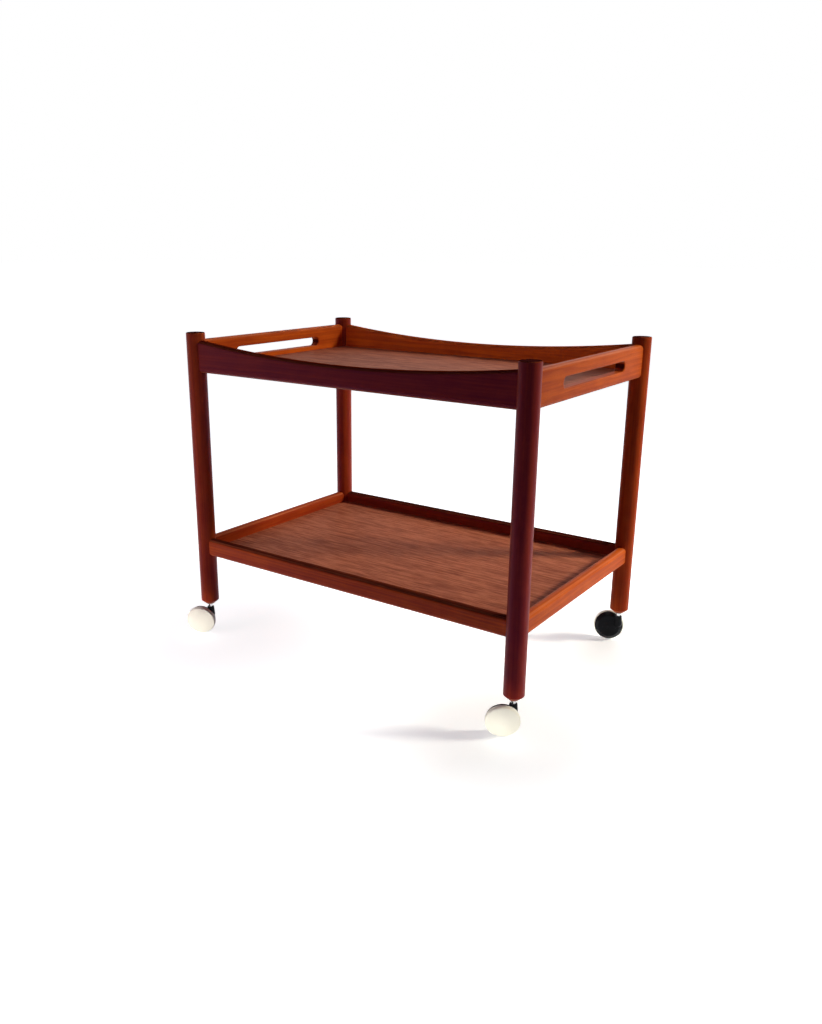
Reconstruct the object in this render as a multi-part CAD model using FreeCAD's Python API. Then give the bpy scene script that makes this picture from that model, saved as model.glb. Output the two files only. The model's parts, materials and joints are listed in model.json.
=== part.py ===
"""Two-tier serving trolley: four round legs, coped rails, two inset panels and four hooded casters.

Millimetres.  X runs along the trolley, -Y is its front, Z is up, and the origin is on the floor
in the middle of the rectangle of the four legs.
"""
import FreeCAD, Part
import math
import os

# Legs
leg_spacing_x = 670.0
leg_spacing_y = 430.0
leg_diameter = 34.0
leg_length = 523.0
leg_top_round = 2.0
foot_bevel_height = 7.0
foot_bevel_depth = 8.0
foot_edge_round = 2.0

# Rails, all of one thickness and centred on the legs
rail_thickness = 18.0
tray_drop = 13.0
end_rail_height = 58.0
long_rail_end_rise = 1.5
long_rail_sag = 22.0
tray_rail_round = 7.0
shelf_rail_rise = 101.0
shelf_rail_height = 34.0
shelf_rail_round = 8.0
inner_lip_round = 2.0

# Hand slot in each end rail of the tray
slot_length = 240.0
slot_height = 17.0
slot_edge_round = 2.5

# Mitred tenons on the rails
tenon_thickness = 9.0
tenon_shoulder = 6.0
tenon_root = 5.0
mitre_gap = 0.3

# Panels, whose rebated edges leave a tongue for the grooves in the rails
panel_thickness = 8.0
panel_tongue = 5.0
panel_lip = 4.0
groove_depth = 6.0
panel_edge_gap = 0.4

# Caster wheel: a moulded cup, closed by a shallow dome on its outer side
wheel_diameter = 56.0
wheel_tread = 11.0
wheel_edge_round = 2.5
wheel_dome = 3.5
wheel_rim_wall = 3.5
wheel_face_wall = 2.5
hub_diameter = 13.0
hub_proud = 0.3
bore_end_wall = 4.5

# Caster axle, tipped so that the wheel's outer face looks down a little
axle_tilt = 10.5
axle_diameter = 5.0
axle_tip_bevel = 0.6
snap_groove_depth = 0.4
snap_groove_width = 1.6
snap_groove_back = 3.0
snap_bead_depth = 0.2
snap_bead_width = 0.8

# Caster hood: a tapered drum with a shallow cone on its face and an upright boss for the stem
hood_inset = 1.5
hood_rim_gap = 0.8
hood_rim_width = 2.0
hood_face_depth = 10.7
hood_face_diameter = 40.0
hood_edge_round = 1.5
hood_lip_round = 0.8
hood_cone_height = 2.5
hood_wall = 2.5
axle_boss_diameter = 11.0
axle_end_wall = 3.0
boss_diameter = 13.0
boss_flare = 1.5
boss_length = 16.0
boss_top_round = 1.2
stem_seat_depth = 14.0

# Caster stem, grip ring and socket
caster_trail = 16.5
foot_clearance = 4.8
stem_diameter = 8.0
stem_exposed = 8.0
stem_reach = 36.0
stem_tip_height = 2.0
stem_tip_inset = 1.5
ring_wire = 1.2
ring_proud = 0.5
ring_below_tip = 9.0
ring_opening_deg = 40.0
socket_wall = 1.5
socket_end_wall = 1.5
socket_flange_diameter = 15.0
socket_flange_thickness = 1.2

# Fits
glue_gap = 0.1
press_gap = 0.02
running_gap = 0.05
thrust_gap = 0.3
ring_gap = 0.1
ring_track_gap = 0.4

# Angle by which each caster is turned from trailing straight along -X, as it stands
caster_turn_deg = {
    "front_left": 28.0,
    "front_right": 32.0,
    "back_left": 12.0,
    "back_right": 22.0,
}

# Rules of proportion
round_limit_share = 0.47
cut_overrun = 2.0
full_turn_deg = 360.0
quarter_turn_deg = 90.0
half_turn_deg = 180.0
touch_tolerance = 0.001

# Places that follow from the sizes above
leg_radius = leg_diameter / 2
wheel_radius = wheel_diameter / 2
boss_radius = boss_diameter / 2
stem_radius = stem_diameter / 2
axle_radius = axle_diameter / 2
tilt = math.radians(axle_tilt)
edge_centre_radius = wheel_radius - wheel_edge_round
edge_centre_height = wheel_tread / 2 - wheel_edge_round
wheel_centre_z = (edge_centre_radius * math.cos(tilt) + edge_centre_height * math.sin(tilt)
                  + wheel_edge_round)
wheel_offset = boss_radius + wheel_tread / 2
leg_foot_z = 2 * wheel_centre_z + foot_clearance
leg_top_z = leg_foot_z + leg_length
boss_top_z = leg_foot_z - stem_exposed
stem_top_z = leg_foot_z + stem_reach
tray_rail_z = leg_top_z - tray_drop - end_rail_height
long_rail_end_height = end_rail_height + long_rail_end_rise
shelf_rail_z = leg_foot_z + shelf_rail_rise
ring_centre_z = stem_top_z - ring_below_tip
socket_radius = stem_radius + running_gap + socket_wall
socket_top_z = stem_top_z + thrust_gap + socket_end_wall

origin = FreeCAD.Vector(0, 0, 0)
x_axis = FreeCAD.Vector(1, 0, 0)
y_axis = FreeCAD.Vector(0, 1, 0)
z_axis = FreeCAD.Vector(0, 0, 1)


def in_plan(x, y):
    return FreeCAD.Vector(x, y, 0)


def in_section(x, z):
    return FreeCAD.Vector(x, 0, z)


def face_from(start, steps, place):
    """Closed face through the steps; a step is a corner, or a pair: a point on an arc and its end."""
    edges = []
    here = place(*start)
    for step in steps + [start]:
        if isinstance(step[0], tuple):
            through, end = place(*step[0]), place(*step[1])
            edges.append(Part.Arc(here, through, end).toShape())
        else:
            end = place(*step)
            if here.distanceToPoint(end) < touch_tolerance:
                continue
            edges.append(Part.makeLine(here, end))
        here = end
    return Part.Face(Part.Wire(edges))


def round_step(centre_a, centre_b, radius, start_deg, end_deg):
    """Arc step of a section about a centre, from one angle to another."""
    points = []
    for angle in ((start_deg + end_deg) / 2, end_deg):
        turn = math.radians(angle)
        points.append((centre_a + radius * math.cos(turn), centre_b + radius * math.sin(turn)))
    return tuple(points)


def eased(before, corner, after, radius):
    """Steps of a section that round a corner between two straight runs."""
    here = FreeCAD.Vector(*corner, 0)
    back = (FreeCAD.Vector(*before, 0) - here).normalize()
    ahead = (FreeCAD.Vector(*after, 0) - here).normalize()
    half = back.getAngle(ahead) / 2
    inward = (back + ahead).normalize()
    reach = radius / math.tan(half)
    points = (back * reach, inward * (radius / math.sin(half) - radius), ahead * reach)
    start, through, end = [((here + point).x, (here + point).y) for point in points]
    return [start, (through, end)]


def dome_step(radius, base, height):
    """Arc step of a shallow dome that ends level on the axis."""
    curve = (radius * radius + height * height) / (2 * height)
    half = math.asin(radius / curve) / 2
    crown = base + height
    mid = (curve * math.sin(half), crown - curve * (1 - math.cos(half)))
    return mid, (0, crown)


def turned(start, steps):
    """Solid of revolution about Z; steps are pairs of radius and height."""
    return face_from(start, steps, in_section).revolve(origin, z_axis, full_turn_deg)


def prism(points, low, high):
    """Upright prism over a plan outline."""
    face = face_from(points[0], points[1:], in_plan)
    face.translate(z_axis * low)
    return face.extrude(z_axis * (high - low))


def upright(radius, low, high, x=0, y=0):
    return Part.makeCylinder(radius, high - low, FreeCAD.Vector(x, y, low), z_axis)


def level_box(size_x, y_low, y_high, low, high):
    """Box centred on X."""
    corner = FreeCAD.Vector(-size_x / 2, y_low, low)
    return Part.makeBox(size_x, y_high - y_low, high - low, corner)


def one_solid(shape):
    solids = shape.Solids
    if len(solids) != 1:
        raise ValueError("expected one solid, found %d" % len(solids))
    return solids[0]


def tenon_outline(gap, mitre):
    """Plan of a tenon at a leg: along the rail, then towards the rail at the same corner."""
    half = tenon_thickness / 2 + gap
    root = leg_radius + tenon_root
    return [(root, -half), (root, half), (half + mitre, half), (mitre - half, -half)]


def tenon_span(rail_z, rail_height):
    return rail_z + tenon_shoulder, rail_z + rail_height - tenon_shoulder


tray_tenon_span = tenon_span(tray_rail_z, end_rail_height)
shelf_tenon_span = tenon_span(shelf_rail_z, shelf_rail_height)


def make_leg():
    """Leg on the Z axis, with one rail leaving along +X and one along +Y."""
    foot = (leg_radius - foot_bevel_depth, 0)
    round_low = leg_length - leg_top_round
    leg = turned((0, 0), [
        foot,
        *eased(foot, (leg_radius, foot_bevel_height), (leg_radius, round_low), foot_edge_round),
        (leg_radius, round_low),
        round_step(leg_radius - leg_top_round, round_low, leg_top_round, 0, quarter_turn_deg),
        (0, leg_length),
    ])
    leg.translate(z_axis * leg_foot_z)
    outline = tenon_outline(glue_gap, 0)
    swapped = [(b, a) for a, b in outline]
    for low, high in (tray_tenon_span, shelf_tenon_span):
        for plan in (outline, swapped):
            leg = leg.cut(prism(plan, low - glue_gap, high + glue_gap))
    socket_hole = upright(socket_radius + press_gap, leg_foot_z - cut_overrun, socket_top_z + press_gap)
    return one_solid(leg.cut(socket_hole))


def rail_blank(length, height, sag, low):
    """Plain rail along X, its outer face towards -Y, with a hollow top edge where it sags.

    The hollow is one arc in three runs, which meet above the roots of the tenons.
    """
    end, top = length / 2, low + height
    corners = [(end, low), (end, top)]
    if sag:
        curve = (end * end + sag * sag) / (2 * sag)
        root = end - leg_radius - tenon_root
        by_leg = (end + root) / 2

        def on_hollow(x):
            return x, top - sag + curve - math.sqrt(curve * curve - x * x)

        corners.append((on_hollow(by_leg), on_hollow(root)))
        corners.append((on_hollow(0), on_hollow(-root)))
        corners.append((on_hollow(-by_leg), (-end, top)))
    else:
        corners.append((-end, top))
    blank = face_from((-end, low), corners, in_section)
    blank.translate(y_axis * (-rail_thickness / 2))
    return blank.extrude(y_axis * rail_thickness)


def cut_hand_slot(rail, centre_z):
    """Long slot with round ends through the rail, its edges eased on both faces."""
    radius = slot_height / 2
    straight = slot_length / 2 - radius
    outline = face_from((-straight, centre_z - radius), [
        (straight, centre_z - radius),
        ((straight + radius, centre_z), (straight, centre_z + radius)),
        (-straight, centre_z + radius),
        ((-straight - radius, centre_z), (-straight, centre_z - radius)),
    ], in_section)
    reach = rail_thickness / 2 + cut_overrun
    outline.translate(y_axis * (-reach))
    rail = rail.cut(outline.extrude(y_axis * (2 * reach)))
    rims = []
    for edge in rail.Edges:
        on_face = abs(abs(edge.CenterOfMass.y) - rail_thickness / 2) < touch_tolerance
        inside = edge.BoundBox.XLength < slot_length and abs(edge.CenterOfMass.x) < slot_length / 2
        if on_face and inside:
            rims.append(edge)
    return rail.makeFillet(min(slot_edge_round, round_limit_share * rail_thickness), rims)


def ease_long_edges(rail, low, radius):
    """Round the four long edges; the inner lower one is eased less, below the panel's groove."""
    def long_edges(at_lip):
        found = []
        for edge in rail.Edges:
            box = edge.BoundBox
            is_long = box.YLength < touch_tolerance < box.XLength
            is_lip = edge.CenterOfMass.y > 0 and edge.CenterOfMass.z < low + touch_tolerance
            if is_long and is_lip == at_lip:
                found.append(edge)
        return found

    rail = rail.makeFillet(min(radius, round_limit_share * rail_thickness), long_edges(False))
    return rail.makeFillet(min(inner_lip_round, round_limit_share * panel_lip), long_edges(True))


def make_rail(length, height, sag, low, radius, span, slotted=False):
    """Rail with a groove for its panel, ends coped to the legs and a mitred tenon at each end."""
    rail = ease_long_edges(rail_blank(length, height, sag, low), low, radius)
    if slotted:
        rail = cut_hand_slot(rail, low + height / 2)
    inner = rail_thickness / 2
    panel_low = low + panel_lip
    groove = level_box(length, inner - groove_depth, inner + cut_overrun,
                       panel_low, panel_low + panel_tongue + 2 * glue_gap)
    reach = height + cut_overrun
    for side in (-1, 1):
        leg = upright(leg_radius + glue_gap, low - cut_overrun, low + reach, side * length / 2)
        rail = rail.cut(leg)
        groove = groove.cut(leg)
        plan = [(side * (length / 2 - a), b) for a, b in tenon_outline(0, mitre_gap)]
        rail = rail.fuse(prism(plan, *span))
    return one_solid(rail.cut(groove))


def make_panel(rail_z):
    """Panel between its four rails, with a tongue in their grooves, notched round the legs."""
    low = rail_z + panel_lip + glue_gap

    def layer(bite, thickness):
        size_x, size_y = leg_spacing_x - 2 * bite, leg_spacing_y - 2 * bite
        return level_box(size_x, -size_y / 2, size_y / 2, low, low + thickness)

    tongue = layer(rail_thickness / 2 - groove_depth + panel_edge_gap, panel_tongue)
    panel = tongue.fuse(layer(rail_thickness / 2 + glue_gap, panel_thickness))
    for x in (-leg_spacing_x / 2, leg_spacing_x / 2):
        for y in (-leg_spacing_y / 2, leg_spacing_y / 2):
            notch = upright(leg_radius + glue_gap, low - cut_overrun,
                            low + panel_thickness + cut_overrun, x, y)
            panel = panel.cut(notch)
    return one_solid(panel)


# Axial places on the caster, measured along the axle from the middle of the wheel's tread;
# the hood is on the negative side
tread_half = wheel_tread / 2
hub_face = -tread_half - hub_proud
bore_end = tread_half + wheel_dome - bore_end_wall
axle_tip = bore_end - thrust_gap
snap_middle = axle_tip - snap_groove_back
hood_rim_inner = -tread_half - hood_rim_gap
hood_rim_outer = hood_rim_inner - hood_rim_width
hood_face = hood_rim_inner - hood_face_depth
hood_apex = hood_face - hood_cone_height
axle_root = hood_apex + axle_end_wall
axle_boss_face = hub_face - thrust_gap


def make_wheel():
    """Wheel about its axle: tread, closed dome, inner hub with a blind bore and a snap bead."""
    bore = axle_radius + running_gap
    bead = bore - snap_bead_depth
    bead_half = snap_bead_width / 2
    rim_inner = wheel_radius - wheel_rim_wall
    inner_face = tread_half - wheel_face_wall
    return turned((0, bore_end), [
        (bore, bore_end),
        (bore, snap_middle + bead_half),
        (bead, snap_middle + bead_half),
        (bead, snap_middle - bead_half),
        (bore, snap_middle - bead_half),
        (bore, hub_face),
        (hub_diameter / 2, hub_face),
        (hub_diameter / 2, inner_face),
        (rim_inner, inner_face),
        (rim_inner, -tread_half),
        (edge_centre_radius, -tread_half),
        round_step(edge_centre_radius, -edge_centre_height, wheel_edge_round, -quarter_turn_deg, 0),
        (wheel_radius, edge_centre_height),
        round_step(edge_centre_radius, edge_centre_height, wheel_edge_round, 0, quarter_turn_deg),
        dome_step(edge_centre_radius, tread_half, wheel_dome),
    ])


def make_axle():
    """Axle pin, fixed in the hood, with a groove that the wheel snaps over."""
    groove = axle_radius - snap_groove_depth
    groove_half = snap_groove_width / 2
    return turned((0, axle_root), [
        (axle_radius, axle_root),
        (axle_radius, snap_middle - groove_half),
        (groove, snap_middle - groove_half),
        (groove, snap_middle + groove_half),
        (axle_radius, snap_middle + groove_half),
        (axle_radius, axle_tip - axle_tip_bevel),
        (axle_radius - axle_tip_bevel, axle_tip),
        (0, axle_tip),
    ])


def make_hood_shell():
    """Hood about the axle: a thin drum that tapers to its face, with a boss for the axle."""
    rim = wheel_radius - hood_inset
    face = hood_face_diameter / 2
    boss = axle_boss_diameter / 2
    hole = axle_radius + press_gap
    slope = hood_cone_height / face
    roof_at_boss = hood_apex + slope * boss + hood_wall
    apex, face_edge, shoulder = (0, hood_apex), (face, hood_face), (rim, hood_rim_outer)
    lip, lip_inside = (rim, hood_rim_inner), (rim - hood_wall, hood_rim_inner)
    return turned(apex, [
        *eased(apex, face_edge, shoulder, hood_edge_round),
        *eased(face_edge, shoulder, lip, hood_edge_round),
        *eased(shoulder, lip, lip_inside, hood_lip_round),
        lip_inside,
        (rim - hood_wall, hood_rim_outer),
        (face - hood_wall / 2, hood_face + hood_wall),
        (boss, roof_at_boss),
        (boss, axle_boss_face),
        (hole, axle_boss_face),
        (hole, axle_root - press_gap),
        (0, axle_root - press_gap),
    ])


def on_axle(shape):
    """Move a shape turned about Z onto the tipped axle."""
    shape.rotate(origin, x_axis, -quarter_turn_deg - axle_tilt)
    shape.translate(FreeCAD.Vector(caster_trail, wheel_offset, wheel_centre_z))
    return shape


def make_hood():
    """Hood with its upright flared boss, which ends in a half ball, and the seat of the stem."""
    ball_z = boss_top_z - boss_length
    ball_radius = boss_radius + boss_flare
    top_edge, top_middle = (boss_radius, boss_top_z), (0, boss_top_z)
    boss = turned((0, ball_z - ball_radius), [
        round_step(0, ball_z, ball_radius, -quarter_turn_deg, 0),
        *eased((ball_radius, ball_z), top_edge, top_middle, boss_top_round),
        top_middle,
    ])
    hood = on_axle(make_hood_shell()).fuse(boss)
    seat = upright(stem_radius + press_gap, boss_top_z - stem_seat_depth, boss_top_z + cut_overrun)
    return one_solid(hood.cut(seat))


def make_stem():
    """Upright stem with a blunt tip and a groove for the grip ring."""
    low = boss_top_z - stem_seat_depth + press_gap
    half = ring_wire / 2 + ring_gap
    groove = stem_radius + ring_proud - ring_wire - ring_gap
    return turned((0, low), [
        (stem_radius, low),
        (stem_radius, ring_centre_z - half),
        (groove, ring_centre_z - half),
        (groove, ring_centre_z + half),
        (stem_radius, ring_centre_z + half),
        (stem_radius, stem_top_z - stem_tip_height),
        (stem_radius - stem_tip_inset, stem_top_z),
        (0, stem_top_z),
    ])


def make_ring():
    """Open spring ring that grips the socket's track."""
    outer = stem_radius + ring_proud
    inner = outer - ring_wire
    low, high = ring_centre_z - ring_wire / 2, ring_centre_z + ring_wire / 2
    section = face_from((inner, low), [(outer, low), (outer, high), (inner, high)], in_section)
    ring = section.revolve(origin, z_axis, full_turn_deg - ring_opening_deg)
    ring.rotate(origin, z_axis, ring_opening_deg / 2)
    return ring


def make_socket():
    """Closed sleeve in the foot of a leg, with a flange below and a track for the grip ring."""
    inner = stem_radius + running_gap
    track = stem_radius + ring_proud + ring_track_gap
    half = ring_wire / 2 + ring_track_gap
    flange = socket_flange_diameter / 2
    flange_low = leg_foot_z - socket_flange_thickness
    roof = stem_top_z + thrust_gap
    return turned((inner, flange_low), [
        (flange, flange_low),
        (flange, leg_foot_z),
        (socket_radius, leg_foot_z),
        (socket_radius, socket_top_z),
        (0, socket_top_z),
        (0, roof),
        (inner, roof),
        (inner, ring_centre_z + half),
        (track, ring_centre_z + half),
        (track, ring_centre_z - half),
        (inner, ring_centre_z - half),
    ])


def caster_pieces():
    """Pieces of one caster about its stem, trailing along +X with the wheel on the +Y side."""
    return {
        "caster_socket": make_socket(),
        "caster_stem": make_stem(),
        "caster_ring": make_ring(),
        "caster_hood": make_hood(),
        "caster_axle": on_axle(make_axle()),
        "caster_wheel": on_axle(make_wheel()),
    }


def placed(shape, turn_deg, x, y):
    copy = shape.copy()
    copy.rotate(origin, z_axis, turn_deg)
    copy.translate(in_plan(x, y))
    return copy


def tray_rail(length, height, sag, slotted):
    return make_rail(length, height, sag, tray_rail_z, tray_rail_round, tray_tenon_span, slotted)


def shelf_rail(length):
    return make_rail(length, shelf_rail_height, 0, shelf_rail_z, shelf_rail_round, shelf_tenon_span)


def build():
    """All pieces of the trolley by name."""
    half_x, half_y = leg_spacing_x / 2, leg_spacing_y / 2
    corners = {
        "front_left": (-half_x, -half_y, 0),
        "front_right": (half_x, -half_y, quarter_turn_deg),
        "back_right": (half_x, half_y, half_turn_deg),
        "back_left": (-half_x, half_y, -quarter_turn_deg),
    }
    sides = {
        "front": (0, -half_y, 0),
        "back": (0, half_y, half_turn_deg),
        "left": (-half_x, 0, -quarter_turn_deg),
        "right": (half_x, 0, quarter_turn_deg),
    }
    pieces = {}
    leg = make_leg()
    caster = caster_pieces()
    for corner, (x, y, turn_deg) in corners.items():
        pieces["leg_" + corner] = placed(leg, turn_deg, x, y)
        for name, shape in caster.items():
            if corner.startswith("back"):
                shape = shape.mirror(origin, y_axis)
            trail_deg = half_turn_deg + caster_turn_deg[corner]
            pieces[name + "_" + corner] = placed(shape, trail_deg, x, y)
    tray_long = tray_rail(leg_spacing_x, long_rail_end_height, long_rail_sag, False)
    tray_end = tray_rail(leg_spacing_y, end_rail_height, 0, True)
    shelf_long = shelf_rail(leg_spacing_x)
    shelf_end = shelf_rail(leg_spacing_y)
    for side, (x, y, turn_deg) in sides.items():
        on_long_side = side in ("front", "back")
        pieces["tray_rail_" + side] = placed(tray_long if on_long_side else tray_end, turn_deg, x, y)
        pieces["shelf_rail_" + side] = placed(shelf_long if on_long_side else shelf_end, turn_deg, x, y)
    pieces["tray_panel"] = make_panel(tray_rail_z)
    pieces["shelf_panel"] = make_panel(shelf_rail_z)
    return pieces


os.makedirs("parts", exist_ok=True)
for node, solid in build().items():
    if not solid.isValid():
        raise ValueError(node + " is not a valid solid")
    solid.exportStep("parts/" + node + ".step")
print("tray panel top %.2f, shelf panel top %.2f, leg foot %.2f, leg top %.2f" % (
    tray_rail_z + panel_lip + glue_gap + panel_thickness,
    shelf_rail_z + panel_lip + glue_gap + panel_thickness, leg_foot_z, leg_top_z))
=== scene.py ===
"""Finish of a two-tier wooden serving trolley: turned legs, hollow rails, veneered boards and casters.

Metres.  X runs along the trolley, -Y is its front and Z is up.
"""
import json
import math

import bpy
from bpy.props import FloatProperty, FloatVectorProperty, IntProperty, PointerProperty
from mathutils import Matrix, Vector


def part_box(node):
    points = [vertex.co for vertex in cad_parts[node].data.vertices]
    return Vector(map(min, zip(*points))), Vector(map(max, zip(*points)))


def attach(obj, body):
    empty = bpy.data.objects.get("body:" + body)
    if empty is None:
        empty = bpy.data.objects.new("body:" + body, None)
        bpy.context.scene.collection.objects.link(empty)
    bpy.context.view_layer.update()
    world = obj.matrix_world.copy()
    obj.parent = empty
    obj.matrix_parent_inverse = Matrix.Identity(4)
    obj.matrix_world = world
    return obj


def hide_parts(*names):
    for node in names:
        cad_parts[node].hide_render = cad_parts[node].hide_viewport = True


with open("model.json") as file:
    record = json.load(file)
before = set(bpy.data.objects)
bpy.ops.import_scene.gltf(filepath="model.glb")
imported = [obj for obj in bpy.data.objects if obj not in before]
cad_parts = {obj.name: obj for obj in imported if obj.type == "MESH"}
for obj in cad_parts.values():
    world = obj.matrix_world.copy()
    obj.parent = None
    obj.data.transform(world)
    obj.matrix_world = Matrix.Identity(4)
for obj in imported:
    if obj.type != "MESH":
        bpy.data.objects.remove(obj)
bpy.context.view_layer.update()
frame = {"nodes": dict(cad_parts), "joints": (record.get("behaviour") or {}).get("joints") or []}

bl_info = {
    "name": "Serving trolley",
    "version": (1, 0, 0),
    "blender": (4, 5, 0),
    "location": "3D View > Sidebar > Trolley",
    "description": "Makes and finishes a wooden serving trolley and sets it on a white stage",
    "category": "Object",
}

CORNERS = ("front_left", "front_right", "back_left", "back_right")
RAIL_TURNS = {"front": 0, "right": math.pi / 2, "back": math.pi, "left": -math.pi / 2}
LONG_SIDES = ("front", "back")
MM = 0.001
WHITE = (1.0, 1.0, 1.0)

# Sizes that the frame gives
joints = {joint["name"]: joint for joint in frame["joints"]}
leg_axes = {corner: Vector(joints["swivel_" + corner]["pos_m"]) for corner in CORNERS}
leg_low, leg_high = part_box("leg_front_left")
leg_radius = (leg_high.x - leg_low.x) / 2
rail_low, rail_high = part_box("shelf_rail_front")
rail_thickness = rail_high.y - rail_low.y


def colour(name, description, default):
    return FloatVectorProperty(name=name, description=description, default=default, size=3,
                               subtype="COLOR", min=0, max=1)


def length(name, description, default):
    return FloatProperty(name=name, description=description, default=default, unit="LENGTH", min=0)


def angle(name, description, default):
    return FloatProperty(name=name, description=description, default=default, subtype="ANGLE")


def power(name, description, default):
    return FloatProperty(name=name, description=description, default=default, unit="POWER", min=0)


def share(name, description, default):
    return FloatProperty(name=name, description=description, default=default, subtype="FACTOR",
                         min=0, max=1)


def count(name, description, default):
    return IntProperty(name=name, description=description, default=default, min=3)


class TrolleyShapes(bpy.types.PropertyGroup):
    """Sizes of the turned legs and of the rails."""

    top_round: length("Top round", "Round of a leg's top edge", 2 * MM)
    foot_bevel_height: length("Foot bevel height", "Height of the bevel at a leg's foot", 7 * MM)
    foot_bevel_depth: length("Foot bevel depth", "Depth of the bevel at a leg's foot", 8 * MM)
    foot_round: length("Foot round", "Round above a leg's bevel", 2 * MM)
    socket_hole: length("Socket hole", "Radius of the hole for a caster's socket", 5.6 * MM)
    leg_segments: count("Leg segments", "Facets round a leg", 96)
    hollow: length("Hollow", "Sag of the long tray rails' top edge", 22 * MM)
    tray_round: length("Tray rail round", "Round of the tray rails' long edges", 7 * MM)
    shelf_round: length("Shelf rail round", "Round of the shelf rails' long edges", 8 * MM)
    lip_round: length("Lip round", "Round of the edge under the boards", 2 * MM)
    cope_gap: length("Cope gap", "Glue gap between a rail's end and its leg", 0.1 * MM)
    rail_steps: count("Rail steps", "Sections along a rail", 49)


class TrolleyWood(bpy.types.PropertyGroup):
    """Colours and grain of the oiled wood and of the veneer."""

    light: colour("Light wood", "Early wood of the legs and rails", (0.60, 0.108, 0.010))
    dark: colour("Dark wood", "Late wood of the legs and rails", (0.38, 0.050, 0.007))
    # The end-grain colour is also the painted shade on the upper sides of the long shelf rails
    end: colour("End grain", "Wood cut across the grain, and stained wood", (0.045, 0.008, 0.010))
    veneer_light: colour("Light veneer", "Early wood of the boards", (0.50, 0.152, 0.076))
    veneer_dark: colour("Dark veneer", "Late wood of the boards", (0.225, 0.054, 0.026))
    edge: colour("Worn edge", "Wood where hands have rubbed the edges", (0.72, 0.22, 0.09))
    ring_width: length("Ring width", "Distance between growth rings", 6 * MM)
    fibre_width: length("Fibre width", "Width of the fine streaks in the legs and rails", 1.1 * MM)
    veneer_fibre: length("Veneer fibre", "Width of the fine streaks in the boards", 2.6 * MM)
    sheen_tint: colour("Sheen tint", "Tint of the oil's sheen on the legs and rails", (0.10, 0.0, 1.0))
    # Painted shade: how far the upper sides of the long shelf rails are darkened towards the end-grain
    # colour
    top_painted_shade: share("Top painted shade", "Share of dark stain on the upper side of the long shelf rails", 0.85)


class TrolleyCasters(bpy.types.PropertyGroup):
    """Colours of the casters."""

    wheel: colour("Wheel", "Moulded wheel", (0.90, 0.885, 0.77))
    scuff: colour("Scuffs", "Dirt on the tread", (0.50, 0.45, 0.36))
    hood: colour("Hood", "Moulded hood", (0.006, 0.007, 0.010))
    dust: colour("Dust", "Dust in the hood's scratches", (0.05, 0.05, 0.055))
    plating: colour("Plating", "Plated stem", (0.80, 0.80, 0.82))
    steel: colour("Steel", "Plain steel of the socket, ring and axle", (0.50, 0.50, 0.51))


class TrolleyStage(bpy.types.PropertyGroup):
    """Camera, lamps and floor."""

    camera_place: FloatVectorProperty(
        name="Camera", description="Place of the camera", size=3, subtype="TRANSLATION",
        default=(905.23 * MM, -1358.61 * MM, 737.78 * MM))
    yaw: angle("Yaw", "Turn of the camera about the upright", math.radians(35.4151))
    pitch: angle("Pitch", "Downward tip of the camera", math.radians(16.9313))
    roll: angle("Roll", "Lean of the camera", math.radians(0.2918))
    lens: FloatProperty(name="Lens", description="Focal length in millimetres", unit="CAMERA",
                        default=31.68)
    shift: FloatVectorProperty(name="Shift", description="Shift of the lens", size=2,
                               default=(0.02293, 0.00623))
    floor: colour("Floor", "Colour of the floor", (0.82, 0.85, 0.87))
    floor_cloud: colour("Floor clouds", "Colour of the faint clouds on the floor", (0.80, 0.78, 0.75))
    key_colour: colour("Key light", "Colour of the key light", (1.0, 0.95, 0.80))
    back_colour: colour("Back light", "Colour of the back light", (0.95, 0.98, 1.0))
    side_colour: colour("Side light", "Colour of the side light", (1.0, 0.76, 0.76))
    tray_colour: colour("Tray light", "Colour of the light over the tray", (1.0, 0.92, 0.85))
    low_colour: colour("Low light", "Colour of the low light", (1.0, 0.97, 0.93))
    gloom: colour("Gloom", "Faint light of the surroundings", (0.04, 0.025, 0.10))
    key_power: power("Key power", "Power of the key light", 4.1)
    back_power: power("Back power", "Power of the back light", 26.0)
    side_power: power("Side power", "Power of the side light", 0.9)
    tray_power: power("Tray power", "Power of the light over the tray", 0.025)
    low_power: power("Low power", "Power of the low light", 0.33)
    gloom_strength: share("Gloom strength", "Strength of the surroundings as light", 0.45)
    shadow_reach: length("Shadow reach", "How far from a leg the floor keeps its shadows", 0.32)


def feed(tree, socket, value):
    """Give a socket a value, or link another node's socket to it."""
    if isinstance(value, bpy.types.NodeSocket):
        tree.links.new(value, socket)
    else:
        socket.default_value = value


def add(tree, kind, inputs=None, **settings):
    """New node; inputs maps the names or numbers of its sockets to values or to other nodes' sockets."""
    node = tree.nodes.new(kind)
    for key, value in settings.items():
        setattr(node, key, value)
    for key, value in (inputs or {}).items():
        feed(tree, node.inputs[key], value)
    return node


def maths(tree, operation, *values):
    return add(tree, "ShaderNodeMath", dict(enumerate(values)), operation=operation).outputs[0]


def built_up(tree, base, *parts):
    """Base to which each part, given with its share, is added."""
    for part, part_share in parts:
        base = maths(tree, "MULTIPLY_ADD", part, part_share, base)
    return base


def apart(tree, vector):
    """The three parts of a vector."""
    return add(tree, "ShaderNodeSeparateXYZ", {0: vector}).outputs


def opaque(rgb):
    return (*rgb, 1.0)


def scaled(rgb, factor):
    return [part * factor for part in rgb]


def noise(tree, vector, per_metre, detail=2.0, roughness=0.5):
    return add(tree, "ShaderNodeTexNoise", {
        "Vector": vector, "Scale": per_metre, "Detail": detail, "Roughness": roughness}).outputs[0]


def spread(tree, value, low, high):
    """Value from low to high taken to 0 to 1, eased at both ends."""
    return add(tree, "ShaderNodeMapRange", {"Value": value, "From Min": low, "From Max": high},
               interpolation_type="SMOOTHSTEP").outputs[0]


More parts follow.
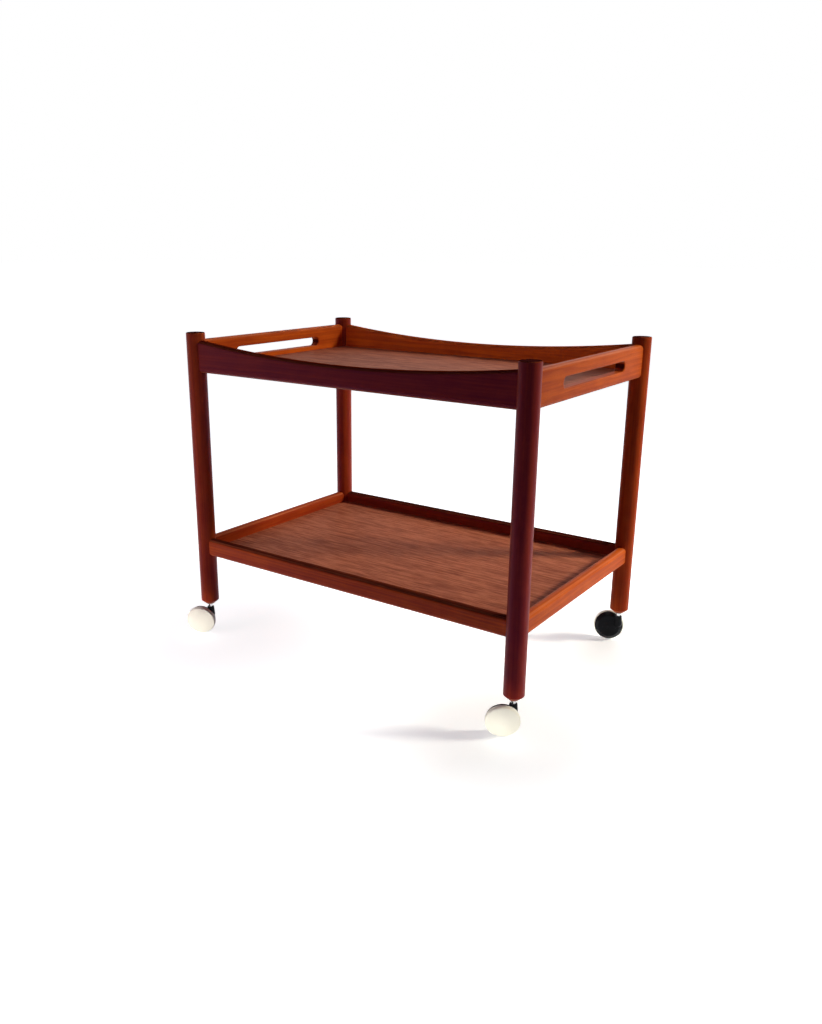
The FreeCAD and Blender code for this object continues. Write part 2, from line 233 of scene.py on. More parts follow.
def mixed(tree, factor, first, second):
    """First colour at a factor of 0, second at 1."""
    node = add(tree, "ShaderNodeMix", data_type="RGBA")
    sockets = {socket.name: socket for socket in node.inputs if socket.enabled}
    for name, value in (("Factor", factor), ("A", first), ("B", second)):
        feed(tree, sockets[name], value)
    return [socket for socket in node.outputs if socket.enabled][0]


def bumped(tree, height, strength, depth):
    return add(tree, "ShaderNodeBump",
               {"Strength": strength, "Distance": depth, "Height": height}).outputs[0]


def object_place(tree):
    """Coordinates on the piece itself."""
    return add(tree, "ShaderNodeTexCoord").outputs["Object"]


def new_material(name):
    """Empty material and its tree."""
    material = bpy.data.materials.new(name)
    material.use_nodes = True
    material.node_tree.nodes.clear()
    return material, material.node_tree


def surface(tree, inputs):
    """Principled shader into the material's output."""
    shader = add(tree, "ShaderNodeBsdfPrincipled", inputs)
    add(tree, "ShaderNodeOutputMaterial", {"Surface": shader.outputs[0]})


# Each plank's tone beside the others, where that isn't 1: mostly painted light and shade, partly the planks'
# own difference in tone
PLANK_PAINTED_LIGHT = {
    "leg_front_left": 0.76, "leg_front_right": 0.50, "leg_back_left": 0.64, "leg_back_right": 0.68,
    "tray_rail_front": 0.45, "tray_rail_back": 1.25, "tray_rail_left": 1.20, "shelf_rail_front": 1.20,
    "shelf_rail_back": 0.62, "shelf_rail_left": 0.66,
}
# Where a plank is darkened with painted shade, it loses more green and less blue than red
PAINTED_SHADE_DEPTHS = (1.0, 1.6, 0.3)
# Long shelf rails whose upper sides are darkened with painted shade
SHADE_PAINTED_TOPS = ("shelf_rail_front", "shelf_rail_back")
# Planks whose oil has dried, so that they have little sheen
DRY_PLANKS = ("tray_rail_left", "tray_rail_right", "shelf_rail_left", "shelf_rail_right", "leg_back_right")
DRY_SHINE, OILED_SHINE = 0.06, 0.22
# Share of the growth rings in a leg's darkness and in a rail's
LEG_RINGS, RAIL_RINGS = 0.25, 0.35

# Looks of the oiled planks and of the satin boards: shares of the marks in the wood's darkness, how the
# fibres are drawn out along the grain, wear of the edges and least roughness
OILED = {"streak_share": 0.6, "fibre_share": 0.5, "fibre_stretch": 0.012, "wear": 0.45, "roughness": 0.36}
SATIN = {"streak_share": 0.6, "fibre_share": 3.4, "fibre_stretch": 0.08, "wear": 0.0, "roughness": 0.46,
         "ring_share": 0.2, "shine": 0.05, "sheen_tint": WHITE, "dull_tops": False, "top_painted_shade": 0.0}

# Direction of the grain along each axis, and the turn that brings it to X
GRAIN = {"X": ((1, 0, 0), (0, 0, 0)), "Y": ((0, 1, 0), (0, 0, -math.pi / 2)),
         "Z": ((0, 0, 1), (0, math.pi / 2, 0))}

# Marks in the wood: how many come in a metre across the grain, the share of that along it, and the detail
# and roughness of their noise
WAVER = (22.0, 0.10, 3.0, 0.6)
STREAKS = (200.0, 0.02, 2.0, 0.5)
PORES = (2000.0, 0.05, 1.0, 0.5)
CLOUDS = (30.0, 0.45, 3.0, 0.55)
FIBRE_NOISE = (3.0, 0.6)
NOISE_MEAN = 0.5
# How many rings the waver can shift
RING_WAVER = 4.5

# Where each mark begins and where it is full
RING_RISE, RING_FALL = (0.0, 1.0), (1.0, 0.82)
STREAK_RANGE = (0.30, 0.75)
PORE_RANGE = (0.60, 0.72)
TONE_RANGE = (-0.35, 1.15)

# How far a face looks up where it gets painted shade and where it is dull, how near to halfway round an
# edge it is worn and on which fibres, and how squarely end grain crosses the grain
TOP_SHADE_RANGE = (0.35, 0.65)
DULL_RANGE = (0.25, 0.60)
WORN_RANGE = (0.80, 1.0)
WORN_FIBRES = (0.30, 0.60)
END_RANGE = (0.80, 0.97)

# Shares of the marks in the tone, the roughness and the height of the surface, and the tone of a pore beside
# the dark wood
CLOUD_SHARE = 1.5
PORE_SHARE, PORE_TONE = 0.40, 0.5
END_SHARE = 0.85
FIBRE_ROUGHNESS, WORN_ROUGHNESS, END_ROUGHNESS = 0.16, -0.08, 0.35
FIBRE_HEIGHT, PORE_HEIGHT = 0.6, -0.8
WOOD_IOR = 1.48


def figure(tree, along, finish):
    """Darkness, fibres and pores of wood, in coordinates from the pith whose X runs along the grain."""
    def marks(per_metre, drawn_out, detail, roughness):
        drawn = add(tree, "ShaderNodeMapping", {"Vector": along, "Scale": (drawn_out, 1, 1)}).outputs[0]
        return noise(tree, drawn, per_metre, detail, roughness)

    # Growth rings that waver, each darker towards its end
    _, across, up = apart(tree, along)
    radius = maths(tree, "SQRT", maths(tree, "ADD", maths(tree, "MULTIPLY", across, across),
                                       maths(tree, "MULTIPLY", up, up)))
    even = maths(tree, "DIVIDE", radius, bpy.context.scene.trolley_wood.ring_width)
    ring = maths(tree, "FRACT", built_up(tree, even, (marks(*WAVER), RING_WAVER)))
    late = maths(tree, "MULTIPLY", spread(tree, ring, *RING_RISE), spread(tree, ring, *RING_FALL))

    # Long streaks, fine fibres, broad clouds and short pores
    fibres = marks(1 / finish["fibre_width"], finish["fibre_stretch"], *FIBRE_NOISE)
    darkness = built_up(
        tree, 0.0,
        (spread(tree, marks(*STREAKS), *STREAK_RANGE), finish["streak_share"]),
        (late, finish["ring_share"]),
        (maths(tree, "SUBTRACT", fibres, NOISE_MEAN), finish["fibre_share"]),
        (maths(tree, "SUBTRACT", marks(*CLOUDS), NOISE_MEAN), CLOUD_SHARE))
    pores = spread(tree, marks(*PORES), *PORE_RANGE)
    return spread(tree, darkness, *TONE_RANGE), fibres, pores


def wood(name, axis, pith, light, dark, finish):
    """Wood whose grain runs along an axis, with its growth rings about a pith point."""
    tones = bpy.context.scene.trolley_wood
    direction, turn = GRAIN[axis]
    material, tree = new_material(name)
    from_pith = add(tree, "ShaderNodeVectorMath", {0: object_place(tree), 1: pith},
                    operation="SUBTRACT").outputs[0]
    along = add(tree, "ShaderNodeMapping", {"Vector": from_pith, "Rotation": turn}).outputs[0]
    darkness, fibres, pores = figure(tree, along, finish)
    body = mixed(tree, darkness, opaque(light), opaque(dark))
    body = mixed(tree, maths(tree, "MULTIPLY", pores, PORE_SHARE), body, opaque(scaled(dark, PORE_TONE)))

    # Painted shade on upper sides, edges that are rubbed lighter halfway round, and dark end grain
    normal = add(tree, "ShaderNodeNewGeometry").outputs["Normal"]
    tall = apart(tree, normal)[2]
    # Painted shade: faces that look up are darkened towards the end-grain colour
    if finish["top_painted_shade"]:
        upper = maths(tree, "MULTIPLY", spread(tree, tall, *TOP_SHADE_RANGE), finish["top_painted_shade"])
        body = mixed(tree, upper, body, opaque(tones.end))
    flat = maths(tree, "SQRT", maths(tree, "SUBTRACT", 1.0, maths(tree, "MULTIPLY", tall, tall)))
    halfway = maths(tree, "MULTIPLY", maths(tree, "ABSOLUTE", maths(tree, "MULTIPLY", tall, flat)), 2.0)
    worn = maths(tree, "MULTIPLY", spread(tree, halfway, *WORN_RANGE), spread(tree, fibres, *WORN_FIBRES))
    body = mixed(tree, maths(tree, "MULTIPLY", worn, finish["wear"]), body, opaque(tones.edge))
    facing = add(tree, "ShaderNodeVectorMath", {0: normal, 1: direction}, operation="DOT_PRODUCT")
    end_grain = spread(tree, maths(tree, "ABSOLUTE", facing.outputs["Value"]), *END_RANGE)
    body = mixed(tree, maths(tree, "MULTIPLY", end_grain, END_SHARE), body, opaque(tones.end))

    rough = built_up(tree, finish["roughness"], (fibres, FIBRE_ROUGHNESS), (worn, WORN_ROUGHNESS),
                     (end_grain, END_ROUGHNESS))
    height = built_up(tree, 0.0, (fibres, FIBRE_HEIGHT), (pores, PORE_HEIGHT))
    shine = finish["shine"]
    if finish["dull_tops"]:
        dull = maths(tree, "MAXIMUM", spread(tree, tall, *DULL_RANGE), end_grain)
        shine = maths(tree, "MULTIPLY", maths(tree, "SUBTRACT", 1.0, dull), shine)
    surface(tree, {
        "Base Color": body, "Roughness": rough, "IOR": WOOD_IOR, "Specular IOR Level": shine,
        "Specular Tint": opaque(finish["sheen_tint"]),
        "Normal": bumped(tree, height, strength=0.20, depth=0.25 * MM)})
    return material


def plank_tone_with_painted_light(node, tone):
    """Tone of the wood in a node's own plank, with that plank's painted light and shade."""
    plank = PLANK_PAINTED_LIGHT.get(node, 1.0)
    return [part * max(plank, 1.0) * min(plank, 1.0) ** depth for part, depth in zip(tone, PAINTED_SHADE_DEPTHS)]


def solid_wood(node, axis, pith, ring_share):
    """Oiled wood of a leg or rail; its upper side is dull, but an end rail is the same all round."""
    tones = bpy.context.scene.trolley_wood
    is_dry = node in DRY_PLANKS
    # Each plank's light and dark tones carry its painted light and shade
    return wood("teak_" + node, axis, pith, plank_tone_with_painted_light(node, tones.light), plank_tone_with_painted_light(node, tones.dark), {
        **OILED, "ring_share": ring_share, "fibre_width": tones.fibre_width,
        "shine": DRY_SHINE if is_dry else OILED_SHINE,
        "sheen_tint": WHITE if is_dry else tones.sheen_tint,
        "dull_tops": axis != "Y",
        "top_painted_shade": tones.top_painted_shade if node in SHADE_PAINTED_TOPS else 0.0})


def veneer(node, pith):
    """Satin veneer of a board, with short fine streaks."""
    tones = bpy.context.scene.trolley_wood
    return wood("veneer_" + node, "X", pith, tones.veneer_light, tones.veneer_dark,
                {**SATIN, "fibre_width": tones.veneer_fibre})


# Marks in the mouldings and on the metal: how many come in a metre, and the detail and roughness of their
# noise
MOTTLE = (90.0, 3.0, 0.6)
SCUFFS = (420.0, 4.0, 0.7)
TARNISH = (130.0, 2.0)
TURNING_NOISE = (3.0, 0.6)
SCUFF_RANGE = (0.56, 0.74)
# Turning marks run round the upright, so they lie close together in height alone
TURNING_STRETCH = (0.08, 0.08, 1)

# Shares of these marks in the tone and the roughness, and the tone of tarnish beside bright metal
MOTTLE_SHARE = 0.5
MOTTLE_ROUGHNESS, SCUFF_ROUGHNESS = 0.10, 0.18
TARNISH_SHARE, TARNISH_TONE = 0.35, 0.6
TARNISH_ROUGHNESS, TURNING_ROUGHNESS = 0.12, 0.14
PLASTIC_IOR = 1.5


def moulding(name, body, speck, speck_share, roughness, shine, grain_size):
    """Moulded plastic: faint mottling, scuffs and a skin that isn't quite even."""
    material, tree = new_material(name)
    place = object_place(tree)
    mottle = noise(tree, place, *MOTTLE)
    scuffs = spread(tree, noise(tree, place, *SCUFFS), *SCUFF_RANGE)
    skin = noise(tree, place, 1 / grain_size)
    specks = maths(tree, "MULTIPLY", built_up(tree, scuffs, (mottle, MOTTLE_SHARE)), speck_share)
    surface(tree, {
        "Base Color": mixed(tree, specks, opaque(body), opaque(speck)),
        "Roughness": built_up(tree, roughness, (scuffs, SCUFF_ROUGHNESS), (mottle, MOTTLE_ROUGHNESS)),
        "IOR": PLASTIC_IOR, "Specular IOR Level": shine,
        "Normal": bumped(tree, skin, strength=0.05, depth=0.10 * MM)})
    return material


def metal(name, tone, roughness, mark_size):
    """Bright metal with fine turning marks about the upright."""
    material, tree = new_material(name)
    place = object_place(tree)
    rings = add(tree, "ShaderNodeMapping", {"Vector": place, "Scale": TURNING_STRETCH}).outputs[0]
    turning = noise(tree, rings, 1 / mark_size, *TURNING_NOISE)
    tarnish = noise(tree, place, *TARNISH)
    surface(tree, {
        "Base Color": mixed(tree, maths(tree, "MULTIPLY", tarnish, TARNISH_SHARE), opaque(tone),
                            opaque(scaled(tone, TARNISH_TONE))),
        "Metallic": 1.0,
        "Roughness": built_up(tree, roughness, (tarnish, TARNISH_ROUGHNESS), (turning, TURNING_ROUGHNESS)),
        "Normal": bumped(tree, turning, strength=0.06, depth=0.05 * MM)})
    return material


def dress(node, material):
    """Give a CAD node a material."""
    mesh = frame["nodes"][node].data
    mesh.materials.clear()
    mesh.materials.append(material)


def middle(node):
    """Middle of a CAD node's box."""
    low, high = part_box(node)
    return (low + high) / 2


# Turned and swept pieces: the facets of an arc, the straights that hold its ends, the core that is closed
# about a turning axis, and the turn from which an edge is sharp
ARC_STEPS = 6
HOLD = 0.3 * MM
AXIS_CORE = 0.01 * MM
SHARP_TURN = math.radians(35)


def rounded(corners):
    """Points of an outline with corners (x, y, radius); a round one is an arc between two held ends."""
    points = []
    for number, (x, y, radius) in enumerate(corners):
        here = Vector((x, y))
        if not radius:
            points.append(here)
            continue
        back = (Vector(corners[number - 1][:2]) - here).normalized()
        ahead = (Vector(corners[(number + 1) % len(corners)][:2]) - here).normalized()
        half = back.angle(ahead) / 2
        reach = radius / math.tan(half)
        centre = here + (back + ahead).normalized() * (radius / math.sin(half))
        start, end = here + back * reach, here + ahead * reach
        first, last = start - centre, end - centre
        sweep = math.copysign(math.pi - 2 * half, first.x * last.y - first.y * last.x)
        points.append(start + back * HOLD)
        for step in range(ARC_STEPS + 1):
            points.append(centre + Matrix.Rotation(sweep * step / ARC_STEPS, 2) @ first)
        points.append(end + ahead * HOLD)
    return points


def outline_mesh(name, points, closed):
    """Mesh of edges through the points of an outline."""
    edges = [(number, number + 1) for number in range(len(points) - 1)]
    if closed:
        edges.append((len(points) - 1, 0))
    mesh = bpy.data.meshes.new(name)
    mesh.from_pydata([(point.x, point.y, 0) for point in points], edges, [])
    return mesh


def new_tree(name, sockets):
    """Geometry tree that takes a mesh and named inputs, and the sockets that give them."""
    tree = bpy.data.node_groups.new(name, "GeometryNodeTree")
    tree.interface.new_socket("Mesh", in_out="INPUT", socket_type="NodeSocketGeometry")
    for label, kind in sockets.items():
        tree.interface.new_socket(label, in_out="INPUT", socket_type="NodeSocket" + kind)
    tree.interface.new_socket("Mesh", in_out="OUTPUT", socket_type="NodeSocketGeometry")
    return tree, tree.nodes.new("NodeGroupInput").outputs


def end_tree(tree, skin, material):
    """Smooth the skin but for its sharp edges, realize it, give it its material and send it out."""
    turn = add(tree, "GeometryNodeInputMeshEdgeAngle").outputs["Unsigned Angle"]
    sharp = add(tree, "FunctionNodeCompare", {0: turn, 1: SHARP_TURN}, operation="GREATER_THAN").outputs[0]
    smooth = add(tree, "GeometryNodeSetShadeSmooth", {"Geometry": skin, "Shade Smooth": True}).outputs[0]
    creased = add(tree, "GeometryNodeSetShadeSmooth",
                  {"Geometry": smooth, "Selection": sharp, "Shade Smooth": False}, domain="EDGE").outputs[0]
    real = add(tree, "GeometryNodeRealizeInstances", {"Geometry": creased}).outputs[0]
    done = add(tree, "GeometryNodeSetMaterial", {"Geometry": real, "Material": material}).outputs[0]
    add(tree, "NodeGroupOutput", {0: done})


def turned_tree():
    """Tree that turns an outline, radius in X and height in Y, about the upright and places it."""
    tree, given = new_tree("Turned piece", {"Segments": "Int", "Place": "Vector", "Material": "Material"})
    outline = add(tree, "GeometryNodeMeshToCurve", {"Mesh": given["Mesh"]}).outputs[0]
    facing = add(tree, "GeometryNodeTransform",
                 {"Geometry": outline, "Translation": (-AXIS_CORE, 0, 0), "Scale": (1, -1, 1)}).outputs[0]
    circle = add(tree, "GeometryNodeCurvePrimitiveCircle",
                 {"Resolution": given["Segments"], "Radius": AXIS_CORE}).outputs[0]
    skin = add(tree, "GeometryNodeCurveToMesh", {"Curve": circle, "Profile Curve": facing}).outputs[0]
    closed = add(tree, "GeometryNodeMergeByDistance", {"Geometry": skin, "Distance": AXIS_CORE}).outputs[0]
    placed = add(tree, "GeometryNodeTransform",
                 {"Geometry": closed, "Translation": given["Place"]}).outputs[0]
    end_tree(tree, placed, given["Material"])
    return tree


def rail_tree():
    """Tree that runs a section along a rail, copes its ends to the legs and hollows its top edge."""
    tree, given = new_tree("Rail", {
        "Span": "Float", "Cope": "Float", "Height": "Float", "Hollow": "Float", "Steps": "Int",
        "Turn": "Vector", "Place": "Vector", "Material": "Material"})
    section = add(tree, "GeometryNodeMeshToCurve", {"Mesh": given["Mesh"]}).outputs[0]
    facing = add(tree, "GeometryNodeTransform",
                 {"Geometry": section, "Rotation": (0, 0, math.pi)}).outputs[0]
    line = add(tree, "GeometryNodeCurvePrimitiveLine", {"Start": (-1, 0, 0), "End": (1, 0, 0)}).outputs[0]
    path = add(tree, "GeometryNodeResampleCurve", {"Curve": line, "Count": given["Steps"]}).outputs[0]
    skin = add(tree, "GeometryNodeCurveToMesh",
               {"Curve": path, "Profile Curve": facing, "Fill Caps": True}).outputs[0]

    # Each point goes from its share of the span to its place between the coped ends
    along_share, across, up = apart(tree, add(tree, "GeometryNodeInputPosition").outputs[0])
    half = maths(tree, "MULTIPLY", given["Span"], 0.5)
    round_leg = maths(tree, "SUBTRACT", maths(tree, "POWER", given["Cope"], 2.0),
                      maths(tree, "MULTIPLY", across, across))
    end = maths(tree, "SUBTRACT", half, maths(tree, "SQRT", round_leg))
    along = maths(tree, "MULTIPLY", along_share, end)

    # The upper half of the section sags most in the middle of the span
    outward = maths(tree, "POWER", maths(tree, "ABSOLUTE", maths(tree, "DIVIDE", along, half)), 2.0)
    sag = maths(tree, "MULTIPLY", given["Hollow"], maths(tree, "SUBTRACT", 1.0, outward))
    upper = maths(tree, "GREATER_THAN", up, maths(tree, "MULTIPLY", given["Height"], 0.5))
    level = maths(tree, "SUBTRACT", up, maths(tree, "MULTIPLY", sag, upper))
    spot = add(tree, "ShaderNodeCombineXYZ", {0: along, 1: across, 2: level}).outputs[0]
    shaped = add(tree, "GeometryNodeSetPosition", {"Geometry": skin, "Position": spot}).outputs[0]
    placed = add(tree, "GeometryNodeTransform",
                 {"Geometry": shaped, "Rotation": given["Turn"], "Translation": given["Place"]}).outputs[0]
    end_tree(tree, placed, given["Material"])
    return tree


def grow(name, outline, tree, sizes, node):
    """Piece that a tree makes of an outline, as a plain mesh on the frame body in place of a CAD node."""
    piece = bpy.data.objects.new(name, outline)
    bpy.context.scene.collection.objects.link(piece)
    modifier = piece.modifiers.new("Make", "NODES")
    modifier.node_group = tree
    for socket in tree.interface.items_tree:
        if socket.name in sizes:
            modifier[socket.identifier] = sizes[socket.name]
    graph = bpy.context.evaluated_depsgraph_get()
    made = bpy.data.meshes.new_from_object(piece.evaluated_get(graph))
    piece.modifiers.clear()
    piece.data = made
    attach(piece, "frame")
    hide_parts(node)


# Where the pith lies beside each piece, and how far along the log the next piece was cut
LEG_PITH, LEG_STEP = Vector((26 * MM, -15 * MM, 0)), Vector((0, 0, 370 * MM))
RAIL_PITH, RAIL_STEP = Vector((0, 0, -95 * MM)), Vector((310 * MM, 110 * MM, 0))
BOARD_PITH, BOARD_STEP = Vector((0, 50 * MM, -650 * MM)), Vector((400 * MM, 0, 0))


class TROLLEY_OT_legs(bpy.types.Operator):
    """Turn the four legs"""

    bl_idname = "trolley.legs"
    bl_label = "Legs"

    def execute(self, context):
        shapes = context.scene.trolley_shapes
        tree = turned_tree()
        foot, top = leg_low.z, leg_high.z
        for number, corner in enumerate(CORNERS):
            hole_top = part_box("caster_socket_" + corner)[1].z
            outline = rounded([
                (0, hole_top, 0),
                (shapes.socket_hole, hole_top, 0),
                (shapes.socket_hole, foot, 0),
                (leg_radius - shapes.foot_bevel_depth, foot, 0),
                (leg_radius, foot + shapes.foot_bevel_height, shapes.foot_round),
                (leg_radius, top, shapes.top_round),
                (0, top, 0),
            ])
            place = Vector((*leg_axes[corner].xy, 0))
            pith = place + LEG_PITH + LEG_STEP * number
            grow("turned_leg_" + corner, outline_mesh("leg_outline", outline, closed=False), tree, {
                "Segments": shapes.leg_segments,
                "Place": place,
                "Material": solid_wood("leg_" + corner, "Z", pith, LEG_RINGS),
            }, "leg_" + corner)
        return {"FINISHED"}


def make_rail(shapes, tree, node, side, material):
    """Sweep a rail from leg to leg."""
    low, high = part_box(node)
    is_long, on_tray = side in LONG_SIDES, node.startswith("tray")
    across = leg_axes["back_right"] - leg_axes["front_left"]
    span = across.x if is_long else across.y
    cope = leg_radius + shapes.cope_gap
    hollow = shapes.hollow if on_tray else 0.0
    edge = shapes.tray_round if on_tray else shapes.shelf_round
    # The box ends at the copes, where the top edge hasn't risen to its full height yet
    height = high.z - low.z + hollow * (1 - (1 - 2 * cope / span) ** 2)
    half = rail_thickness / 2
    section = rounded([(-half, 0, edge), (half, 0, shapes.lip_round), (half, height, edge),
                       (-half, height, edge)])
    line = leg_axes["front_left"] if side in ("front", "left") else leg_axes["back_right"]
    centre = middle(node)
    grow("swept_" + node, outline_mesh("rail_section", section, closed=True), tree, {
        "Span": span,
        "Cope": cope,
        "Height": height,
        "Hollow": hollow,
        "Steps": shapes.rail_steps,
        "Turn": (0, 0, RAIL_TURNS[side]),
        "Place": (centre.x, line.y, low.z) if is_long else (line.x, centre.y, low.z),
        "Material": material,
    }, node)


class TROLLEY_OT_rails(bpy.types.Operator):
    """Make the plain and the hollow rails, and finish the slotted ones"""

    bl_idname = "trolley.rails"
    bl_label = "Rails"

    def execute(self, context):
        tree = rail_tree()
        for tier in ("tray", "shelf"):
            for number, side in enumerate(RAIL_TURNS):
                node = tier + "_rail_" + side
                is_long = side in LONG_SIDES
                pith = middle(node) + RAIL_PITH + RAIL_STEP * number
                material = solid_wood(node, "X" if is_long else "Y", pith, RAIL_RINGS)
                if tier == "tray" and not is_long:
                    dress(node, material)
                else:
                    make_rail(context.scene.trolley_shapes, tree, node, side, material)
        return {"FINISHED"}


class TROLLEY_OT_boards(bpy.types.Operator):
    """Finish the veneered boards of the tray and of the shelf"""

    bl_idname = "trolley.boards"
    bl_label = "Boards"

    def execute(self, context):
        for number, node in enumerate(("tray_panel", "shelf_panel")):
            dress(node, veneer(node, middle(node) + BOARD_PITH + BOARD_STEP * number))
        return {"FINISHED"}


class TROLLEY_OT_casters(bpy.types.Operator):
    """Finish the four casters"""

    bl_idname = "trolley.casters"
    bl_label = "Casters"

    def execute(self, context):
        tones = context.scene.trolley_casters
        finishes = {
            "wheel": moulding("cream_moulding", tones.wheel, tones.scuff, speck_share=0.07,
                              roughness=0.28, shine=0.5, grain_size=0.8 * MM),
            "hood": moulding("black_moulding", tones.hood, tones.dust, speck_share=0.20,
                             roughness=0.12, shine=0.08, grain_size=0.9 * MM),
            "stem": metal("bright_plating", tones.plating, roughness=0.08, mark_size=0.4 * MM),
            "socket": metal("socket_steel", tones.steel, roughness=0.22, mark_size=0.55 * MM),
            "ring": metal("ring_steel", tones.steel, roughness=0.25, mark_size=0.55 * MM),
            "axle": metal("axle_steel", tones.steel, roughness=0.20, mark_size=0.55 * MM),
        }
        for corner in CORNERS:
            for piece, material in finishes.items():
                dress("caster_%s_%s" % (piece, corner), material)
        return {"FINISHED"}


# Where each lamp stands, what it is aimed at, the size of its face and the angle of its beam
LAMPS = {
    "key": ((2.90, 1.70, 1.83), (0.22, 0.12, 0.18), (0.6, 0.5), math.radians(30)),
    "back": ((0.2, 2.3, 1.6), (0, 0, 0.3), (1.8, 1.2), math.pi),
    "side": ((-0.55, -0.68, 0.30), (-0.2, -0.1, 0.26), (0.4, 0.4), math.pi),
    "tray": ((0.0, -0.19, 0.63), (0.0, 0.206, 0.548), (0.64, 0.03), math.radians(20)),
    "low": ((0.0, -1.20, 0.02), (0, 0, 0.02), (1.2, 0.04), math.radians(9)),
}
FLOOR_SIZE = 60.0
FLOOR_CLOUDS, FLOOR_CLOUD_SHARE = (6.0, 3.0), 0.06
# White that is added to the floor near each caster, where the lamps leave it less than white
FLOOR_LIFTS = {"front_left": 0.84, "front_right": 0.56, "back_left": 0.84, "back_right": 0.44}
# Share of the shadows' reach in which the floor keeps them whole
SHADOW_CORE = 0.25
CLIP_RANGE = (10 * MM, 100.0)


def area_light(name, place, target, size, beam, watts, tint):
    """Soft lamp, which the camera doesn't see, at a place and aimed at a target."""
    light = bpy.data.lights.new(name, "AREA")
    light.shape = "RECTANGLE"
    light.size, light.size_y = size
    light.spread = beam
    light.energy = watts
    light.color = tint
    lamp = bpy.data.objects.new(name, light)
    lamp.visible_camera = False
    lamp.visible_glossy = False
    bpy.context.scene.collection.objects.link(lamp)
    aim = Vector(target) - Vector(place)
    lamp.matrix_world = Matrix.Translation(place) @ aim.to_track_quat("-Z", "Y").to_matrix().to_4x4()


def sees_background(tree):
    """1 for the rays that show the background: to the camera, in the gloss and through clear pieces."""
    path = add(tree, "ShaderNodeLightPath").outputs
    seen = maths(tree, "MAXIMUM", path["Is Camera Ray"], path["Is Glossy Ray"])
    return maths(tree, "MAXIMUM", seen, path["Is Transmission Ray"])


def floor_material(stage):
    """Pale floor that the camera sees white, with the shadows by the trolley kept."""
    material, tree = new_material("pale_floor")
    place = object_place(tree)
    cloud = maths(tree, "MULTIPLY", noise(tree, place, *FLOOR_CLOUDS), FLOOR_CLOUD_SHARE)
    tone = mixed(tree, cloud, opaque(stage.floor), opaque(stage.floor_cloud))
    plain = add(tree, "ShaderNodeBsdfDiffuse", {"Color": tone}).outputs[0]
    lift = 1.0
    for corner, axis in leg_axes.items():
        least = FLOOR_LIFTS[corner]
        gap = add(tree, "ShaderNodeVectorMath", {0: place, 1: (axis.x, axis.y, 0)}, operation="DISTANCE")
        away = spread(tree, gap.outputs["Value"], stage.shadow_reach * SHADOW_CORE, stage.shadow_reach)
        lift = maths(tree, "MINIMUM", built_up(tree, least, (away, 1 - least)), lift)
    seen = maths(tree, "MULTIPLY", sees_background(tree), lift)
    glow = add(tree, "ShaderNodeEmission", {"Color": opaque(WHITE), "Strength": seen}).outputs[0]
    both = add(tree, "ShaderNodeAddShader", {0: plain, 1: glow}).outputs[0]
    add(tree, "ShaderNodeOutputMaterial", {"Surface": both})
    return material


def white_room(stage):
    """White background round the trolley, which as a light is only a faint gloom."""
    world = bpy.data.worlds.new("white_room")
    world.use_nodes = True
    tree = world.node_tree
    tree.nodes.clear()
    faint = add(tree, "ShaderNodeBackground",
                {"Color": opaque(stage.gloom), "Strength": stage.gloom_strength}).outputs[0]
    white = add(tree, "ShaderNodeBackground", {"Color": opaque(WHITE), "Strength": 1.0}).outputs[0]
    both = add(tree, "ShaderNodeMixShader", {0: sees_background(tree), 1: faint, 2: white}).outputs[0]
    add(tree, "ShaderNodeOutputWorld", {"Surface": both})
    bpy.context.scene.world = world


def photo_camera(stage):
    """Camera at the viewing angle of the photograph."""
    level = math.cos(stage.pitch)
    back = Vector((math.sin(stage.yaw) * level, -math.cos(stage.yaw) * level, math.sin(stage.pitch)))
    right = Vector((math.cos(stage.yaw), math.sin(stage.yaw), 0))
    over = back.cross(right)
    side = right * math.cos(stage.roll) + over * math.sin(stage.roll)
    top = over * math.cos(stage.roll) - right * math.sin(stage.roll)
    data = bpy.data.cameras.new("photo_camera")
    data.lens = stage.lens
    data.shift_x, data.shift_y = stage.shift
    data.clip_start, data.clip_end = CLIP_RANGE
    camera = bpy.data.objects.new("photo_camera", data)
    bpy.context.scene.collection.objects.link(camera)
    turn = Matrix((side, top, back)).transposed().to_4x4()
    camera.matrix_world = Matrix.Translation(stage.camera_place) @ turn
    bpy.context.scene.camera = camera


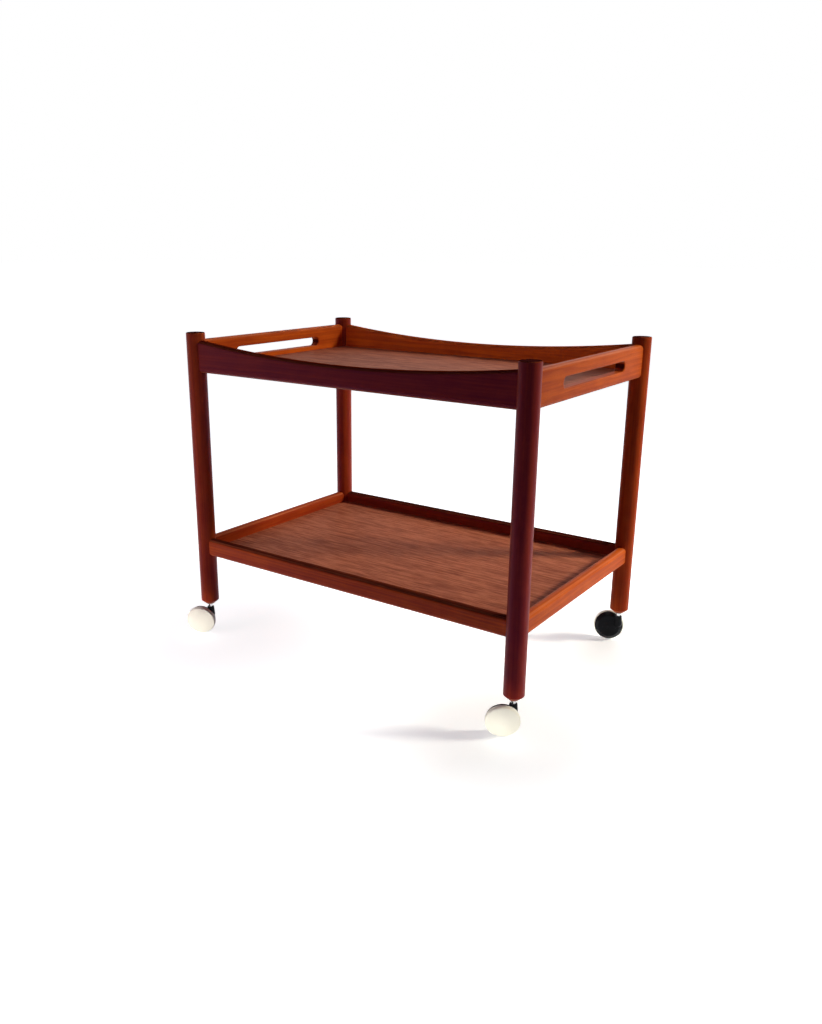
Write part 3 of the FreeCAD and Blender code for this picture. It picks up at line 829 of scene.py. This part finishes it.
class TROLLEY_OT_stage(bpy.types.Operator):
    """Set the trolley on a pale floor, with soft light and the photograph's camera"""

    bl_idname = "trolley.stage"
    bl_label = "Stage"

    def execute(self, context):
        stage = context.scene.trolley_stage
        bpy.ops.mesh.primitive_plane_add(size=FLOOR_SIZE)
        ground = context.object
        ground.name = "floor"
        ground.data.materials.append(floor_material(stage))
        white_room(stage)
        for name, lamp in LAMPS.items():
            area_light(name + "_light", *lamp, watts=getattr(stage, name + "_power"),
                       tint=getattr(stage, name + "_colour"))
        photo_camera(stage)
        context.scene.view_settings.view_transform = "Standard"
        return {"FINISHED"}


OPERATORS = (TROLLEY_OT_legs, TROLLEY_OT_rails, TROLLEY_OT_boards, TROLLEY_OT_casters, TROLLEY_OT_stage)
GROUPS = {"trolley_shapes": TrolleyShapes, "trolley_wood": TrolleyWood, "trolley_casters": TrolleyCasters,
          "trolley_stage": TrolleyStage}


class TROLLEY_PT_sidebar(bpy.types.Panel):
    """Sizes, colours and steps of the trolley"""

    bl_idname = "TROLLEY_PT_sidebar"
    bl_label = "Serving trolley"
    bl_space_type = "VIEW_3D"
    bl_region_type = "UI"
    bl_category = "Trolley"

    def draw(self, context):
        for group, kind in GROUPS.items():
            box = self.layout.box()
            for name in kind.__annotations__:
                box.prop(getattr(context.scene, group), name)
        for operator in OPERATORS:
            self.layout.operator(operator.bl_idname)


def register():
    for kind in (*GROUPS.values(), *OPERATORS, TROLLEY_PT_sidebar):
        bpy.utils.register_class(kind)
    for name, kind in GROUPS.items():
        setattr(bpy.types.Scene, name, PointerProperty(type=kind))


def unregister():
    for name in GROUPS:
        delattr(bpy.types.Scene, name)
    for kind in (TROLLEY_PT_sidebar, *reversed(OPERATORS), *reversed(GROUPS.values())):
        bpy.utils.unregister_class(kind)


def main():
    """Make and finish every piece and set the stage."""
    register()
    bpy.ops.trolley.legs()
    bpy.ops.trolley.rails()
    bpy.ops.trolley.boards()
    bpy.ops.trolley.casters()
    bpy.ops.trolley.stage()


if __name__ == "__main__":
    main()
